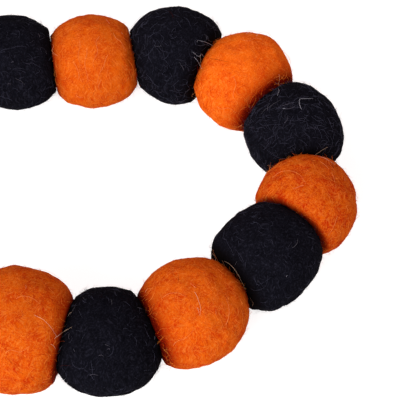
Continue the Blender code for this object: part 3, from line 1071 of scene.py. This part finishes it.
class GARLAND_OT_stage(bpy.types.Operator):
    """Sets up the camera, the soft lights and the pale floor"""

    bl_idname = "garland.stage"
    bl_label = "Camera, lights and floor"

    def execute(self, context):
        stage = context.scene.garland_stage
        self.place_camera(context, stage)
        self.light(context, stage)
        self.lay_floor(context, stage)
        context.scene.view_settings.view_transform = "Standard"
        return {"FINISHED"}

    def place_camera(self, context, stage):
        data = bpy.data.cameras.new("camera")
        data.sensor_width = SENSOR_WIDTH
        data.lens = stage.focal_pixels / PHOTO_SIDE * SENSOR_WIDTH
        data.clip_start, data.clip_end = CLIP_START, CLIP_END
        camera = bpy.data.objects.new("camera", data)
        place, _, _, ahead = camera_view(stage)
        camera.location = place
        camera.rotation_mode = "QUATERNION"
        camera.rotation_quaternion = ahead.to_track_quat("-Z", "Y")
        context.scene.collection.objects.link(camera)
        context.scene.camera = camera

    def light(self, context, stage):
        world = bpy.data.worlds.new("daylight")
        world.use_nodes = True
        glow = world.node_tree.nodes["Background"]
        glow.inputs["Color"].default_value = DAYLIGHT_TINT
        glow.inputs["Strength"].default_value = stage.daylight
        context.scene.world = world
        data = bpy.data.lights.new("key", "AREA")
        data.shape, data.size = "DISK", KEY_ACROSS
        data.energy = stage.key_light
        key = bpy.data.objects.new("key", data)
        key.location = KEY_PLACE
        key.rotation_mode = "QUATERNION"
        aim = Vector(KEY_AIM) - key.location
        key.rotation_quaternion = aim.to_track_quat("-Z", "Y")
        context.scene.collection.objects.link(key)

    def lay_floor(self, context, stage):
        bm = bmesh.new()
        bmesh.ops.create_grid(bm, x_segments=1, y_segments=1, size=FLOOR_REACH)
        mesh = bpy.data.meshes.new("floor")
        bm.to_mesh(mesh)
        bm.free()
        material, shader, n = new_material("floor_white", 1.0, 0.0)
        seen = n.add("ShaderNodeLightPath").outputs["Is Camera Ray"]
        glow = n.ramp(seen, 0.0, 1.0, stage.floor_fill, stage.floor_glow)
        n.feed(shader.inputs["Emission Strength"], glow)
        shader.inputs["Base Color"].default_value = FLOOR_GREY
        shader.inputs["Emission Color"].default_value = FLOOR_LIGHT
        mesh.materials.append(material)
        floor = bpy.data.objects.new("floor", mesh)
        context.scene.collection.objects.link(floor)


def dress(colour):
    """Lays the skin over each solid of one colour."""
    directions, faces = ball_grid(SKIN_DIVISIONS)
    for name in ball_names(colour):
        ball = BALLS[name]
        skin = add_object(f"felt_{name}", ball.points(directions), faces, [felt_material(colour)])
        even = np.ones(len(directions))
        # The painted shade of the creases, each ball's brightness from dye and painted light, and its
        # mottles, by point
        painted = {
            "crease_shade": ball.crease_shade(directions),
            "tone": even * ball.tone(),
            "mottle": even * MOTTLES.get(name, 1),
        }
        for attribute, values in painted.items():
            skin.data.attributes.new(attribute, "FLOAT", "POINT").data.foreach_set("value", values)
        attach(skin, "root")
        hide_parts(name)


class GARLAND_OT_orange_balls(bpy.types.Operator):
    """Covers the orange balls with felt"""

    bl_idname = "garland.orange_balls"
    bl_label = "Orange balls"

    def execute(self, context):
        dress("orange")
        return {"FINISHED"}


class GARLAND_OT_black_balls(bpy.types.Operator):
    """Covers the black balls with felt"""

    bl_idname = "garland.black_balls"
    bl_label = "Black balls"

    def execute(self, context):
        dress("black")
        return {"FINISHED"}


class GARLAND_OT_fibres(bpy.types.Operator):
    """Lays matted, looped and standing wool fibres on every ball"""

    bl_idname = "garland.fibres"
    bl_label = "Wool fibres"

    def execute(self, context):
        for colour in COLOURS:
            for name in ball_names(colour):
                coat = coat_ball(BALLS[name], colour, context.scene.garland_coat.count)
                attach(coat, "root")
        return {"FINISHED"}


class GARLAND_OT_thread(bpy.types.Operator):
    """Twists the thread's plies through all the balls and ties both stopper knots"""

    bl_idname = "garland.thread"
    bl_label = "Thread and knots"

    def execute(self, context):
        points, faces, _ = tubes(*plies_of(thread_path()), PLY_SIDES)
        thread = add_object("garland_thread", points, faces, [thread_material()])
        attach(thread, "root")
        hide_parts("thread")
        return {"FINISHED"}


class GARLAND_OT_hairs(bpy.types.Operator):
    """Lays the stray hairs where the photograph shows them"""

    bl_idname = "garland.hairs"
    bl_label = "Stray hairs"

    def execute(self, context):
        directions, faces = ball_grid(SKIN_DIVISIONS)
        skins = tree_of(*joined([(ball.points(directions), faces) for ball in BALLS.values()]))
        settings = context.scene.garland_hairs
        for tint, hairs in HAIRS.items():
            points, sides = hair_mesh(context.scene.garland_stage, skins, hairs)
            material = plain_wool(f"hair_{tint}", (*getattr(settings, tint), 1.0))
            strays = add_object(f"stray_hairs_{tint}", points, sides, [material])
            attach(strays, "root")
        return {"FINISHED"}


class GARLAND_PT_panel(bpy.types.Panel):
    """Lists the garland's parts in the order in which they are made"""

    bl_idname = "GARLAND_PT_panel"
    bl_label = "Felt ball garland"
    bl_space_type = "VIEW_3D"
    bl_region_type = "UI"
    bl_category = "Garland"

    def draw(self, context):
        for group in PROPERTY_GROUPS:
            settings = getattr(context.scene, group)
            box = self.layout.box()
            for name in settings.bl_rna.properties.keys():
                if name not in ("rna_type", "name"):
                    box.prop(settings, name)
        for operator in OPERATORS:
            self.layout.operator(operator.bl_idname)


PROPERTY_GROUPS = {
    "garland_stage": GARLAND_PG_stage,
    "garland_orange": GARLAND_PG_orange,
    "garland_black": GARLAND_PG_black,
    "garland_coat": GARLAND_PG_coat,
    "garland_thread": GARLAND_PG_thread,
    "garland_hairs": GARLAND_PG_hairs,
}
OPERATORS = (
    GARLAND_OT_stage,
    GARLAND_OT_orange_balls,
    GARLAND_OT_black_balls,
    GARLAND_OT_fibres,
    GARLAND_OT_thread,
    GARLAND_OT_hairs,
)


def register():
    for name, group in PROPERTY_GROUPS.items():
        bpy.utils.register_class(group)
        setattr(bpy.types.Scene, name, PointerProperty(type=group))
    for operator in OPERATORS:
        bpy.utils.register_class(operator)
    bpy.utils.register_class(GARLAND_PT_panel)


def unregister():
    bpy.utils.unregister_class(GARLAND_PT_panel)
    for operator in reversed(OPERATORS):
        bpy.utils.unregister_class(operator)
    for name, group in reversed(PROPERTY_GROUPS.items()):
        delattr(bpy.types.Scene, name)
        bpy.utils.unregister_class(group)


def main():
    register()
    bpy.ops.garland.stage()
    bpy.ops.garland.orange_balls()
    bpy.ops.garland.black_balls()
    bpy.ops.garland.fibres()
    bpy.ops.garland.thread()
    bpy.ops.garland.hairs()


if __name__ == "__main__":
    main()
